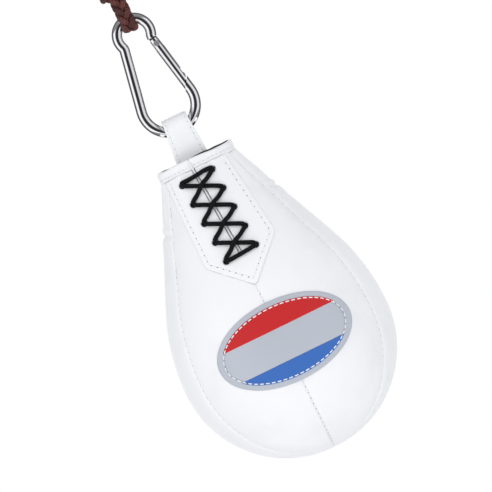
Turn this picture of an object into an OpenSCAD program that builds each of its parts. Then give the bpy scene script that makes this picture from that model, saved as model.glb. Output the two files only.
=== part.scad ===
// Laced, pear-shaped striking bag that hangs from a braided rope by a snap hook.
// Millimetres. +Z is up, the laced front faces -Y, and the origin is the point
// where the rope's eye bears on whatever holds the bag up.

/* [Bag] */
// Largest diameter of the bag
bag_d = 152; // [140:1:170]
// Height from the rim of the mouth to the lowest point
bag_h = 222.6; // [212:0.2:240]
// Half angle of the conical neck, in degrees
neck_angle = 23.8; // [22.5:0.1:25.5]
// Radius of the curve that joins the neck to the belly
belly_curve_r = 145; // [135:1:155]
// Thickness of a gore
skin_t = 2; // [1.6:0.1:2.4]
// Number of gores round the bag
gore_count = 6; // [6:1:6]
// Depth of the seam allowance that turns inwards between gores
seam_depth = 3; // [2:0.1:3.6]

/* [Collar] */
// How far the bound collar stands out past the neck
collar_proud = 0.1; // [0:0.1:0.6]
// Height of the collar
collar_h = 7.9; // [6:0.1:9]
// Thickness of the binding on each side of the gores
binding_t = 1; // [0.8:0.1:1.3]

/* [Lacing] */
// Width of the slit
slit_w = 2.4; // [2:0.1:3]
// Length of the slit below the mouth
slit_l = 74; // [72:1:78]
// Lean of the slit from the vertical, in degrees
slit_lean = 4; // [2:0.5:5]
// Thickness of the facing that the lace runs through
facing_t = 1.4; // [1:0.1:1.8]
// Rows of lace holes
lace_rows = 5; // [4:1:5]
// Distance between rows
lace_pitch = 15; // [14:0.1:15.2]
// First row's distance below the rim
first_row = 14.5; // [13.5:0.1:15.5]
// Distance of a hole from the middle of the slit
lace_reach = 11.8; // [11.5:0.1:13]
// Diameter of the lace holes
lace_hole_d = 4.2; // [4.1:0.1:4.6]
// Diameter of the lace
lace_d = 3.2; // [2.8:0.1:3.4]
// Thickness of the tongue behind the slit
tongue_t = 1.4; // [1:0.1:1.8]

/* [Strap] */
// Thickness of the folded strap
strap_t = 3.4; // [2.6:0.1:3.6]
// Width of the strap over the hook
strap_top_w = 18.6; // [16:0.2:19]
// Width of the strap at the mouth
strap_low_w = 23.2; // [21:0.2:23.6]
// Distance from the hook's wire to the rim of the mouth
strap_reach = 20.7; // [19.5:0.1:24]

/* [Snap hook] */
// Diameter of the hook's wire
wire_d = 7.5; // [7:0.1:7.8]
// Radius of the small ring, to the middle of the wire
ring_r = 11.8; // [11.6:0.1:12.6]
// Radius of the wide bow, to the middle of the wire
bow_r = 19; // [18.6:0.1:20]
// Distance between the centres of ring and bow
hook_centres = 53.8; // [53:0.1:58]
// Radius of the bend at the neck
neck_bend_r = 5; // [4.5:0.1:6]
// Distance along the leg from the neck to the gate's foot
gate_l = 35; // [34:0.1:36]
// Diameter of the gate's rivet
rivet_d = 3; // [2.6:0.1:3.2]

/* [Badge] */
// Width of the oval badge, seen from the front
badge_w = 99; // [90:1:104]
// Height of the oval badge
badge_h = 58.6; // [54:0.2:62]
// Thickness of the badge
badge_t = 1; // [0.8:0.1:1.4]
// Width of the badge's plain border
badge_border = 3.8; // [3:0.1:5]
// Height of the band between the two coloured fields
badge_band = 23; // [20:0.5:26]
// Height of the badge's centre above the widest part of the bag
badge_up = 5.2; // [0:0.1:8]

/* [Rope] */
// Width of the flat braided rope
rope_w = 12; // [11:0.5:12]
// Thickness of the rope
rope_t = 3; // [2.8:0.1:3.2]
// Width of the knot
knot_w = 29; // [28:0.5:32]
// Height of the knot
knot_h = 26; // [26:0.5:28]

/* [Bladder] */
// Wall of the rubber bladder
bladder_t = 1.5; // [1.2:0.1:2]
// Diameter of the bladder's valve
valve_d = 9; // [8:0.5:10]

/* [Hidden] */
$fn = 96;

// Clearances
lay = 0.1;          // between layers that lie on each other
seat = 0.3;         // between a soft piece and what it rests on
run = 0.05;         // radial, of a pin in its hole

// Heights, counted down from the mount
eye_l = 37;
rope_leg = 18.6;
knot_z = -eye_l - knot_h / 2;
ring_top_z = -eye_l - knot_h - rope_leg;
ring_z = ring_top_z - ring_r;
bow_z = ring_z - hook_centres;
wire_low_z = bow_z - bow_r;
mouth_z = wire_low_z - strap_reach;
pole_z = mouth_z - bag_h;
bag_r = bag_d / 2;
belly_z = pole_z + bag_r;

// The bag's outline: ball below the belly, one long curve above it, then a cone
curve_x = bag_r - belly_curve_r;
cone_r = curve_x + belly_curve_r * cos(neck_angle);
cone_z = belly_z + belly_curve_r * sin(neck_angle);
function cone_at(z) = cone_r - (z - cone_z) * tan(neck_angle);
function curve_at(z) = curve_x + sqrt(pow(belly_curve_r, 2) - pow(z - belly_z, 2));
// Radius of the bag's outside, moved outwards by off
function bag_at(z, off = 0) = z > cone_z
    ? cone_at(z) + off / cos(neck_angle)
    : curve_at(z) + off;
collar_low_z = mouth_z - collar_h;
collar_r = cone_at(collar_low_z) + collar_proud;

// ---------------------------------------------------------------- outlines

// Half of the bag's section, with its outside moved out by off, below top_z
module half_pear(off, top_z) {
    join_x = curve_x + (belly_curve_r + off) * cos(neck_angle);
    join_z = belly_z + (belly_curve_r + off) * sin(neck_angle);
    top_x = join_x - (top_z - join_z) * tan(neck_angle);
    intersection() {
        translate([0, belly_z]) circle(r = bag_r + off);
        translate([0, belly_z - bag_d]) square([bag_d, bag_d]);
    }
    intersection() {
        translate([curve_x, belly_z]) circle(r = belly_curve_r + off, $fn = 256);
        translate([0, belly_z]) square([bag_d, join_z - belly_z]);
    }
    polygon([[0, join_z], [join_x, join_z], [top_x, top_z], [0, top_z]]);
}

// A layer of the bag between two offsets, from angle a over a span of turn.
// It stops short of the axis, where the points of the gores leave a pinhole.
pole_gap = 0.6;
module layer(inner, outer, top_z, a, turn) {
    rotate([0, 0, a]) rotate_extrude(angle = turn) difference() {
        half_pear(outer, top_z);
        half_pear(inner, top_z + 1);
        translate([0, pole_z - 1]) square([pole_gap, bag_h]);
    }
}

// A flat outline in X and Z, run through the front half of the bag
module from_front() {
    rotate([90, 0, 0]) linear_extrude(bag_d) children();
}

// The slit's own frame: its foot is the origin and +Y runs up the slit
slit_foot = [0.5, mouth_z - slit_l];
module on_slit() {
    translate(slit_foot) rotate(slit_lean) children();
}
function slit_point(u, up) = [
    slit_foot[0] + u * cos(slit_lean) - up * sin(slit_lean),
    slit_foot[1] + u * sin(slit_lean) + up * cos(slit_lean)];

// ---------------------------------------------------------------- the bag

// The gores' upright edge, which the collar binds
neck_out = collar_r - binding_t - lay / 2;
neck_in = neck_out - skin_t;
edge_z = mouth_z - binding_t - lay;
module upright_edge(a, turn) {
    rotate([0, 0, a]) rotate_extrude(angle = turn)
        translate([neck_in, collar_low_z - skin_t])
            square([skin_t, edge_z - collar_low_z + skin_t]);
}

module gore_shell(a, turn) {
    union() {
        layer(-skin_t, 0, collar_low_z - lay, a, turn);
        upright_edge(a, turn);
    }
}

// The edge of a gore, turned in beside its seam
seam_turn = 1;
seam_inset = 0.15;
seam_top = collar_low_z - 26;
module seam_allowance(a) {
    intersection() {
        layer(-skin_t - seam_depth, -skin_t / 2, seam_top, a, seam_turn);
        translate([0, 0, pole_z + 12 + bag_h / 2]) cube([bag_d, bag_d, bag_h], center = true);
    }
}

gore_turn = 360 / gore_count;
// A plain gore, and its two turned edges
module gore(a) {
    color("whitesmoke") union() {
        gore_shell(a, gore_turn);
        seam_allowance(a + seam_inset);
        seam_allowance(a + gore_turn - seam_turn - seam_inset);
    }
}

// Right-hand side of the line that runs up the front seam and then up the slit
module right_of_slit(half_w) {
    foot = [slit_foot[0] + half_w, slit_foot[1]];
    top = slit_point(half_w, slit_l + 5);
    polygon([[0, pole_z - 1], [bag_d, pole_z - 1], [bag_d, top[1]], top, foot, [0, foot[1]]]);
}
module left_of_slit(half_w) {
    foot = [slit_foot[0] - half_w, slit_foot[1]];
    top = slit_point(-half_w, slit_l + 5);
    polygon([[0, pole_z - 1], [-bag_d, pole_z - 1], [-bag_d, top[1]], top, foot,
        [0, foot[1]]]);
}

front = -90;
overlap_turn = 12;
module front_gore(side) {
    a = side > 0 ? front - overlap_turn : front - gore_turn;
    color("whitesmoke") difference() {
        union() {
            intersection() {
                gore_shell(a, gore_turn + overlap_turn);
                from_front() if (side > 0) right_of_slit(slit_w / 2);
                    else left_of_slit(slit_w / 2);
            }
            seam_allowance(side > 0 ? front + gore_turn - seam_turn - seam_inset
                : front - gore_turn + seam_inset);
        }
        lace_holes();
    }
}
module gore_front_left() { front_gore(-1); }
module gore_front_right() { front_gore(1); }
module gore_side_right() { gore(front + gore_turn); }
module gore_back_right() { gore(front + 2 * gore_turn); }
module gore_back_left() { gore(front + 3 * gore_turn); }
module gore_side_left() { gore(front + 4 * gore_turn); }

module slit_gap(w) {
    from_front() on_slit() translate([-w / 2, 0]) square([w, slit_l + 10]);
}

// Binding folded over the top edge of the gores
module collar_binding() {
    color("whitesmoke") difference() {
        rotate_extrude() difference() {
            translate([neck_in - lay - binding_t, collar_low_z])
                square([skin_t + 2 * binding_t + 1.5 * lay, collar_h]);
            translate([neck_in - lay / 2, collar_low_z - 1])
                square([skin_t + lay, edge_z - collar_low_z + 1 + lay]);
        }
        slit_gap(slit_w);
    }
}

// ---------------------------------------------------------------- lacing

rows = [for (i = [0 : lace_rows - 1]) slit_l - first_row - i * lace_pitch];
module lace_holes() {
    for (up = rows, side = [-1, 1]) {
        p = slit_point(side * lace_reach, up);
        translate([p[0], 0, p[1]]) rotate([90, 0, 0]) cylinder(d = lace_hole_d, h = bag_d);
    }
}

// Shield-shaped facing, with the slit open down its middle
facing_half_w = 26;
facing_right_w = 20.7;
facing_corner_drop = 74;
facing_tip_drop = 98.3;
module facing_outline() {
    polygon([[-facing_half_w, collar_low_z - lay],
        [-facing_half_w, mouth_z - facing_corner_drop],
        [slit_foot[0], mouth_z - facing_tip_drop],
        [facing_half_w + 2.5, mouth_z - facing_corner_drop + 3],
        [facing_right_w, collar_low_z - lay]]);
}
module lacing_facing() {
    color("white") difference() {
        intersection() {
            layer(lay, lay + facing_t, collar_low_z - lay, front - gore_turn, 2 * gore_turn);
            from_front() facing_outline();
        }
        slit_gap(slit_w);
        lace_holes();
    }
}

// Tongue behind the slit, sewn along its left edge
lace_bore_d = 1.8;                      // the lace where holes and layers squeeze it
tongue_gap = 2 * lace_bore_d + 0.6;     // room for the two runs of lace behind the slit
tongue_out = -skin_t - tongue_gap;
tongue_in = tongue_out - tongue_t;
tongue_half_w = lace_reach + 3.5;
tongue_sewn_w = 4;
tongue_top = collar_low_z - 2;
module slit_tongue() {
    color("gainsboro") union() {
        intersection() {
            layer(tongue_in, tongue_out, tongue_top, front - gore_turn, 2 * gore_turn);
            from_front() on_slit() translate([-tongue_half_w, -3])
                square([2 * tongue_half_w, slit_l + 10]);
        }
        intersection() {
            layer(tongue_in, -skin_t - lay, tongue_top, front - gore_turn, 2 * gore_turn);
            from_front() on_slit() translate([-tongue_half_w - tongue_sewn_w, -3])
                square([tongue_sewn_w + lay, slit_l + 10]);
        }
    }
}

// A point of the lace: u across the slit, up along it, off out of the bag's surface
function on_bag(u, up, off) =
    let (p = slit_point(u, up))
    [p[0], -sqrt(pow(bag_at(p[1], off), 2) - p[0] * p[0]), p[1]];

lace_low = lay + facing_t + lace_d / 2 + 0.25;  // offset of a lace that lies on the facing
lace_high = lace_low + lace_d + 0.5;            // where it crosses over another
lace_behind = -skin_t - lay - lace_bore_d / 2;
pair = lace_bore_d / 2 + 0.1;                   // the two passes of a hole, from its middle

// One run over the front, from a left hole to a right one
function front_run(from, to, high) = [
    for (s = [0.08, 0.27, 0.5, 0.73, 0.92]) [
        on_bag(lace_reach * (2 * s - 1), from + (to - from) * s,
            abs(s - 0.5) < 0.1 ? high : lace_low), lace_d]];
// Through a hole, either inwards or outwards
function hole_pass(side, up, inwards) =
    let (ends = [for (off = [lay + facing_t, lace_behind]) [
        on_bag(side * lace_reach, up, off), lace_bore_d]])
    inwards ? ends : [ends[1], ends[0]];
// Behind the gores, from a right hole to a left one
function back_run(up, deep) = [[on_bag(0, up, lace_behind - deep), lace_bore_d]];

last = lace_rows - 1;
function down_leg(i) = concat(
    hole_pass(-1, rows[i] - pair, false),
    front_run(rows[i] - pair, rows[i + 1] + pair, lace_low),
    hole_pass(1, rows[i + 1] + pair, true),
    back_run(rows[i + 1], 0));
function up_leg(i) = concat(
    hole_pass(-1, rows[i] + pair, false),
    front_run(rows[i] + pair, rows[i - 1] - pair, lace_high),
    hole_pass(1, rows[i - 1] - pair, true),
    i > 1 ? back_run(rows[i - 1], lace_bore_d + 0.3) : []);
function bar(i, shift) = concat(
    hole_pass(-1, rows[i] + shift, false),
    front_run(rows[i] + shift, rows[i] + shift, lace_low),
    hole_pass(1, rows[i] + shift, true),
    back_run(rows[i], i == last ? lace_bore_d + 0.3 : 0));
function joined(parts) = [for (part = parts, p = part) p];
lace_route = concat(
    bar(0, pair),
    joined([for (i = [0 : last - 1]) down_leg(i)]),
    bar(last, -pair),
    joined([for (i = [last : -1 : 1]) up_leg(i)]),
    [[on_bag(lace_reach - 5, rows[0] - pair - 2, lace_behind - 0.2), lace_bore_d]]);

// Sweeps a round section along points, each given with its own diameter
function unit(v) = v / norm(v);
module round_sweep(route, sides) {
    count = len(route);
    at = [for (r = route) r[0]];
    along = [for (i = [0 : count - 1])
        unit(at[min(i + 1, count - 1)] - at[max(i - 1, 0)])];
    points = [for (i = [0 : count - 1], k = [0 : sides - 1])
        let (side = unit(cross(along[i], [0.13, -0.9, 0.42])),
            up = cross(along[i], side),
            turn = 360 * k / sides)
        at[i] + route[i][1] / 2 * (side * cos(turn) + up * sin(turn))];
    walls = [for (i = [0 : count - 2], k = [0 : sides - 1])
        let (a = i * sides + k, b = i * sides + (k + 1) % sides)
        each [[a, b, b + sides], [a, b + sides, a + sides]]];
    caps = [for (k = [1 : sides - 2]) each [
        [0, k + 1, k],
        [(count - 1) * sides, (count - 1) * sides + k, (count - 1) * sides + k + 1]]];
    polyhedron(points, concat(walls, caps));
}
module lace() { color([0.06, 0.06, 0.07]) round_sweep(lace_route, 8); }

// ---------------------------------------------------------------- strap

fold_in = 7.3;
back_splay = 18;
front_splay = 5;
strap_tab_l = 16;
strap_end_drop = 14;    // where the ends meet the wall they are sewn to, below the rim
// The strap's side view, with the hook's wire at the origin: one leg
function leg_y(r, splay, z) = (r - z * sin(splay)) / cos(splay);
module strap_leg(splay, wall_y) {
    z_bend = -strap_reach - collar_h;
    z_end = -strap_reach - strap_end_drop;
    inner = leg_y(fold_in, splay, z_bend);
    outer = leg_y(fold_in + strap_t, splay, z_bend);
    polygon([fold_in * [cos(splay), sin(splay)],
        (fold_in + strap_t) * [cos(splay), sin(splay)],
        [outer, z_bend], [wall_y, z_end], [wall_y - strap_t, z_end], [inner, z_bend]]);
}
module strap_fold() {
    difference() {
        circle(r = fold_in + strap_t);
        circle(r = fold_in);
        translate([-50, -100]) square([100, 100]);
    }
}
// Sewn end, curved to the wall it lies against
module strap_tab(out, a) {
    top = mouth_z - strap_end_drop + 3;
    intersection() {
        layer(out - strap_t, out, top, a - 45, 90);
        translate([0, 0, top - strap_tab_l / 2])
            cube([strap_low_w, bag_d, strap_tab_l], center = true);
    }
}
module hanging_strap() {
    end_z = mouth_z - strap_end_drop;
    tab_back = -skin_t - lay;
    tab_front = tongue_in - lay;
    half = strap_low_w / 2;
    y_back = sqrt(pow(bag_at(end_z, tab_back), 2) - half * half);
    y_front = sqrt(pow(bag_at(end_z, tab_front), 2) - half * half);
    color("white") union() {
        intersection() {
            translate([-half, 0, wire_low_z]) rotate([90, 0, 90])
                linear_extrude(strap_low_w) union() {
                    strap_fold();
                    strap_leg(back_splay, y_back);
                    mirror([1, 0]) strap_leg(front_splay, y_front);
                }
            translate([0, bag_r, 0]) rotate([90, 0, 0]) linear_extrude(bag_d) polygon([
                [-half, mouth_z - bag_h], [half, mouth_z - bag_h], [half, mouth_z],
                [strap_top_w / 2, wire_low_z], [strap_top_w / 2, 0],
                [-strap_top_w / 2, 0], [-strap_top_w / 2, wire_low_z], [-half, mouth_z]]);
        }
        strap_tab(tab_back, 90);
        strap_tab(tab_front, -90);
    }
}

// ---------------------------------------------------------------- badge

badge_z = belly_z + badge_up;
badge_x = 1;            // the patch sits a little right of the front seam
oval_turn = 7.5;
module badge_oval(shrink) {
    a = badge_w / 2 - shrink;
    b = badge_h / 2 - shrink;
    translate([badge_x, badge_z]) polygon([
        for (t = [0 : oval_turn : 360 - oval_turn]) [a * cos(t), b * sin(t)]]);
}
badge_turn = 100;      // of the turn from which the patch is cut
module badge_layer(inner, outer) {
    intersection() {
        layer(inner, outer, badge_z + badge_h, front - badge_turn / 2, badge_turn);
        from_front() children();
    }
}
field_t = 0.3;
band_drop = 1.6;        // of the band's middle below the patch's
module badge_base() {
    color("silver") badge_layer(lay, lay + badge_t) badge_oval(0);
}
module badge_field(up) {
    band_z = badge_z - band_drop;
    low = up > 0 ? band_z + badge_band / 2 : badge_z - badge_h;
    high = up > 0 ? badge_z + badge_h : band_z - badge_band / 2;
    badge_layer(lay + badge_t, lay + badge_t + field_t) intersection() {
        badge_oval(badge_border);
        translate([-badge_w, low]) square([2 * badge_w, high - low]);
    }
}
module badge_top_field() { color([0.78, 0.16, 0.16]) badge_field(1); }
module badge_bottom_field() { color([0.25, 0.43, 0.74]) badge_field(-1); }

// ---------------------------------------------------------------- bladder

bladder_off = -skin_t - seam_depth - seat;
bladder_neck_off = tongue_in - seat;    // beside the tongue it lies further in
bladder_drop = 36;
bladder_top = mouth_z - bladder_drop;
// Half of the bladder's section, moved in by grow
module bladder_outline(grow) {
    top_z = bladder_top - grow;
    top_x = cone_at(top_z) + (bladder_neck_off - grow) / cos(neck_angle);
    intersection() {
        half_pear(bladder_off - grow, top_z);
        polygon([[0, top_z], [top_x, top_z],
            [top_x + bag_h * tan(neck_angle), top_z - bag_h], [0, top_z - bag_h]]);
    }
}
module bladder() {
    color([0.16, 0.16, 0.17]) rotate_extrude() difference() {
        bladder_outline(0);
        bladder_outline(bladder_t);
        translate([0, bladder_top - 4]) square([valve_d / 2, 8]);
    }
}
valve_l = 12;
plug_d = 4;
module bladder_valve() {
    color([0.1, 0.1, 0.1]) rotate_extrude() difference() {
        union() {
            translate([0, bladder_top - bladder_t]) square([valve_d / 2, valve_l + bladder_t]);
            translate([0, bladder_top + lay]) square([valve_d / 2 + 2, 1.5]);
        }
        translate([0, bladder_top - 5]) square([plug_d / 2, valve_l + 10]);
    }
}
module valve_plug() {
    color("dimgray") rotate_extrude() union() {
        translate([0, bladder_top + 3]) square([plug_d / 2, valve_l - 3]);
        translate([0, bladder_top + valve_l]) square([plug_d / 2 + 1.5, 1.6]);
    }
}

// ---------------------------------------------------------------- snap hook

// In the hook's plane: the leg line touches the bow, and a bend leads it into the ring
leg_a = 10.6;
neck_gap = bow_r - hook_centres * sin(leg_a);   // from the ring's centre to the leg line
bend_drop = sqrt(pow(ring_r + neck_bend_r, 2) - pow(neck_gap + neck_bend_r, 2));
out_dir = [cos(leg_a), sin(leg_a)];
down_dir = [sin(leg_a), -cos(leg_a)];
ring_c = [0, ring_z];
neck_p = ring_c + neck_gap * out_dir + bend_drop * down_dir;    // top of the straight leg
bend_c = neck_p + neck_bend_r * out_dir;
bend_a = atan2(bend_c[1] - ring_z, bend_c[0]);                  // direction ring to bend
bend_meet = ring_c + ring_r * [cos(bend_a), sin(bend_a)];
bow_meet = [bow_r * cos(leg_a), bow_z + bow_r * sin(leg_a)];
leg_l = norm(neck_p - bow_meet);

// A bent stretch of wire, a little short at both ends
bead_d = wire_d + 0.1;
short = 0.3;
module wire_arc(c, r, from, to) {
    trim = short / r * 180 / PI;
    translate([c[0], 0, c[1]]) rotate([90, 0, 0]) rotate([0, 0, from + trim])
        rotate_extrude(angle = to - from - 2 * trim) translate([r, 0]) circle(d = wire_d);
}
// A bead that joins two stretches of wire
module bead(p) {
    translate([p[0], 0, p[1]]) sphere(d = bead_d);
}
// The gate's own frame: origin at the neck, +X out of the hook, -Z down the leg
module on_gate() {
    translate([neck_p[0], 0, neck_p[1]]) rotate([0, -leg_a, 0]) children();
}
rivet_s = 4.8;
tang_t = 2.6;
tang_w = 5.4;
tang_end = 2.9;         // past the rivet
nose_d = 3;
nose_w = 4;
nose_t = 2;
nose_s = gate_l - 5;
catch_l = leg_l - gate_l - 0.4;
gate_top = 0.3;

// Everything on the gate's side of the slanting end face
module gate_side(gap) {
    rotate([90, 0, 0]) translate([0, 0, -wire_d]) linear_extrude(2 * wire_d) polygon([
        [wire_d / 2 + 1, wire_d - 20], [wire_d / 2 + 1, -gate_l + gap],
        [wire_d / 2, -gate_l + gap], [-wire_d / 2, -gate_l - catch_l + gap],
        [-wire_d / 2 - 1, -gate_l - catch_l + gap], [-wire_d / 2 - 1, wire_d - 20]]);
}

module hook_body() {
    color("silver") union() {
        wire_arc(ring_c, ring_r, bend_a, 180 - bend_a);
        wire_arc(bend_c, neck_bend_r, 180 + bend_a, 180 + leg_a);
        wire_arc([-bend_c[0], bend_c[1]], neck_bend_r, -leg_a, -bend_a);
        wire_arc([0, bow_z], bow_r, 180 - leg_a, 360 + leg_a);
        mirror([1, 0, 0]) on_gate() translate([0, 0, short - leg_l])
            cylinder(d = wire_d, h = leg_l - 2 * short);
        for (p = [bend_meet, bow_meet, neck_p]) bead([-p[0], p[1]]);
        // on the gate's side the beads stop where the gate begins
        difference() {
            bead(bend_meet);
            on_gate() translate([-wire_d, -wire_d, -wire_d])
                cube([2 * wire_d, 2 * wire_d, wire_d]);
        }
        difference() {
            bead(bow_meet);
            on_gate() gate_side(0);
        }
        on_gate() {
            difference() {
                translate([0, 0, short - leg_l])
                    cylinder(d = wire_d, h = leg_l - gate_l - short);
                gate_side(0);
            }
            hook_nose();
            difference() {
                translate([-tang_w / 2, -tang_t / 2, -rivet_s - tang_end])
                    cube([tang_w, tang_t, rivet_s + tang_end + 2 * short]);
                translate([0, 0, -rivet_s]) rotate([90, 0, 0])
                    cylinder(d = rivet_d + 2 * run, h = wire_d, center = true);
            }
        }
    }
}
// T-shaped nose that the closed gate drops over
module hook_nose() {
    translate([-nose_d / 2, -nose_t / 2, -gate_l - catch_l / 2 - 1])
        cube([nose_d, nose_t, catch_l / 2 + 1 + gate_l - nose_s]);
    translate([0, 0, -nose_s]) rotate([90, 0, 0])
        cylinder(d = nose_d, h = nose_w, center = true);
}

bore_d = 3.4;
bore_end = 24;
fork_t = tang_t + 0.4;
fork_end = rivet_s + norm([tang_end, tang_w / 2]) + 0.2;
head_d = 4.2;
head_y = wire_d / 2 - 0.5;
module hook_gate() {
    color("gainsboro") on_gate() difference() {
        intersection() {
            translate([0, 0, -leg_l]) cylinder(d = wire_d, h = leg_l - gate_top);
            union() {
                gate_side(0.3);
                gate_head();
            }
        }
        translate([-wire_d, -fork_t / 2, -fork_end]) cube([2 * wire_d, fork_t, fork_end]);
        translate([0, 0, -bore_end]) cylinder(d = bore_d, h = bore_end);
        translate([0, 0, -rivet_s]) rotate([90, 0, 0])
            cylinder(d = rivet_d, h = 2 * wire_d, center = true);
        for (s = [-1, 1]) translate([0, s * (head_y + 2), -rivet_s]) rotate([90, 0, 0])
            cylinder(d = head_d, h = 4, center = true);
        // slot and pocket for the nose, open outwards
        translate([-nose_d / 2 - 0.3, -nose_t / 2 - 0.25, -leg_l])
            cube([wire_d, nose_t + 0.5, leg_l - nose_s]);
        translate([-nose_d / 2 - 0.3, -nose_w / 2 - 0.3, -nose_s - nose_d / 2 - 0.3])
            cube([wire_d, nose_w + 0.6, nose_d + 0.6]);
    }
}
// The head's inner corner is rounded about the rivet, so that it clears the ring's end
module gate_head() {
    reach = rivet_s - gate_top;
    rotate([90, 0, 0]) translate([0, -rivet_s, -wire_d]) linear_extrude(2 * wire_d) union() {
        circle(r = reach);
        square([wire_d, reach]);
        translate([-wire_d, -gate_l + rivet_s]) square([2 * wire_d, gate_l - rivet_s - 2]);
    }
}
module gate_rivet() {
    color("lightgray") on_gate() translate([0, 0, -rivet_s]) rotate([90, 0, 0]) union() {
        cylinder(d = rivet_d, h = 2 * head_y, center = true);
        for (s = [-1, 1]) translate([0, 0, s * (head_y + 0.35)])
            cylinder(d = head_d, h = 0.7, center = true);
    }
}

plunger_top = rivet_s + tang_end + lay;
plunger_l = 5;
plunger_tip_d = 2.4;
module gate_plunger() {
    color("gray") on_gate() union() {
        translate([0, 0, -fork_end - plunger_l]) cylinder(d = bore_d - 2 * lay, h = plunger_l);
        translate([0, 0, -fork_end - 1])
            cylinder(d = plunger_tip_d, h = fork_end + 1 - plunger_top);
    }
}
spring_turns = 7;
spring_wire = 0.5;
spring_top = fork_end + plunger_l + lay;
module gate_spring() {
    length = bore_end - spring_top - 2 * lay - spring_wire;
    radius = bore_d / 2 - lay - spring_wire / 2;
    steps = 8 * spring_turns;
    route = [for (i = [0 : steps]) [[radius * cos(i * 45), radius * sin(i * 45),
        -spring_top - spring_wire / 2 - length * i / steps], spring_wire]];
    color("gray") on_gate() round_sweep(route, 6);
}

// ---------------------------------------------------------------- rope

// Sweeps the flat rope along points given as [y, z], with its width along X
module flat_rope(route) {
    count = len(route);
    sides = 10;
    points = [for (i = [0 : count - 1], k = [0 : sides - 1])
        let (d = unit(route[min(i + 1, count - 1)] - route[max(i - 1, 0)]),
            turn = 360 * (k + 0.5) / sides,
            across = rope_w / 2 * cos(turn) / cos(180 / sides),
            thick = rope_t / 2 * sin(turn))
        [across, route[i][0] - d[1] * thick, route[i][1] + d[0] * thick]];
    walls = [for (i = [0 : count - 2], k = [0 : sides - 1])
        let (a = i * sides + k, b = i * sides + (k + 1) % sides)
        each [[a, b + sides, b], [a, a + sides, b + sides]]];
    caps = [for (k = [1 : sides - 2]) each [
        [0, k, k + 1],
        [(count - 1) * sides, (count - 1) * sides + k + 1, (count - 1) * sides + k]]];
    polyhedron(points, concat(walls, caps));
}
function mirrored(half) = concat(half,
    [for (i = [len(half) - 2 : -1 : 0]) [-half[i][0], half[i][1]]]);

// Half routes in Y and Z, from the knot to the middle of the loop
bight_half = [[-5.6, 18.6], [-5.7, 12], [-5.7, 7], [-5.7, 2.5], [-5.6, -0.5], [-5.1, -3],
    [-4, -5.1], [-2.2, -6.4], [0, -6.9]];
eye_half = [[-5, -36.7], [-5.6, -33], [-7, -27], [-8.6, -20], [-9.6, -13], [-9.6, -8],
    [-8.4, -3.6], [-6.4, -0.7], [-3.4, 1], [0, 1.5]];
rope_color = [0.27, 0.13, 0.11];
module rope_bight() {
    color(rope_color) translate([0, 0, ring_top_z]) flat_rope(mirrored(bight_half));
}
module rope_eye() {
    color(rope_color) flat_rope(mirrored(eye_half));
}
// Three wraps of the rope, drawn tight
wrap_r = 4.6;
module rope_knot() {
    rise = (knot_h - 2 * wrap_r) / 2;
    color(rope_color) translate([0, 0, knot_z]) rotate_extrude() union() {
        for (i = [-1 : 1]) translate([knot_w / 2 - wrap_r - abs(i), i * rise])
            circle(r = wrap_r);
        translate([0, -knot_h / 2]) square([knot_w / 2 - wrap_r - 1, knot_h]);
    }
}

rope_eye();
rope_knot();
rope_bight();
hook_body();
hook_gate();
gate_rivet();
gate_plunger();
gate_spring();
hanging_strap();
collar_binding();
gore_front_left();
gore_front_right();
gore_side_left();
gore_side_right();
gore_back_left();
gore_back_right();
lacing_facing();
lace();
slit_tongue();
badge_base();
badge_top_field();
badge_bottom_field();
bladder();
bladder_valve();
valve_plug();
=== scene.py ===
"""Visual model of a laced, pear-shaped striking bag on a snap hook and a braided rope.

Everything is worked out in millimetres in the part's own frame (origin in the rope's
eye, +Z up, laced front towards -Y) and turned into metres when a mesh is made.
"""
import math

import bpy
import numpy as np
from mathutils import Matrix, Vector
from mathutils.geometry import delaunay_2d_cdt


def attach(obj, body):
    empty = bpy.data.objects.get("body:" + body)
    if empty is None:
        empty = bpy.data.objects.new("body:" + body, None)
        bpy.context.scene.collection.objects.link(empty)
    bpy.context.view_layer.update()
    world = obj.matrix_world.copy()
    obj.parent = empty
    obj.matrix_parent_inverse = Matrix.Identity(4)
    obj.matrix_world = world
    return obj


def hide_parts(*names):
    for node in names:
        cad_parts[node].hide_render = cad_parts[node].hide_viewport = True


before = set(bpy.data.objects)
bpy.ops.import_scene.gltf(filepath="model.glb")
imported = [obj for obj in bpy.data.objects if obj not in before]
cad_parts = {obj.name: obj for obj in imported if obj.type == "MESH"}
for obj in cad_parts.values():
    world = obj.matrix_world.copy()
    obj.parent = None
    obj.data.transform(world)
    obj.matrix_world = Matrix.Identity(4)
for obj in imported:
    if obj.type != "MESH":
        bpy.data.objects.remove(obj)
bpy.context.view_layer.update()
MM = 0.001

# ---------- measures (mm)
BAG_R = 76.0
CURVE_R = 145.0
NECK = math.radians(23.8)
MOUTH_Z = -186.9
COLLAR_Z = -194.8
BELLY_Z = -333.5
RING_TOP_Z = -81.6
WIRE_LOW_Z = -166.2
CURVE_X = BAG_R - CURVE_R
CONE_R = CURVE_X + CURVE_R * math.cos(NECK)
CONE_Z = BELLY_Z + CURVE_R * math.sin(NECK)
S_BELLY = BAG_R * math.pi / 2
S_CONE = S_BELLY + CURVE_R * NECK
SKIN_T = 2.0
LAY = 0.1
FACING_T = 1.4
SLIT_W = 2.4
SLIT_L = 74.0
SLIT_LEAN = math.radians(4)
SLIT_FOOT = (0.5, MOUTH_Z - SLIT_L)
LACE_D = 3.2
LACE_BORE_D = 1.8
LACE_REACH = 11.8
LACE_HOLE_D = 4.2
LACE_ROW_DROP, LACE_ROW_PITCH = 14.5, 15.0
LACE_ROWS = [SLIT_L - LACE_ROW_DROP - LACE_ROW_PITCH * i for i in range(5)]
COLLAR_OUT = 28.4
COLLAR_IN = 24.2
GORE_TURN = math.radians(60)
STITCH_PITCH = 4.8
BADGE_C = (1.0, BELLY_Z + 5.2)
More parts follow.
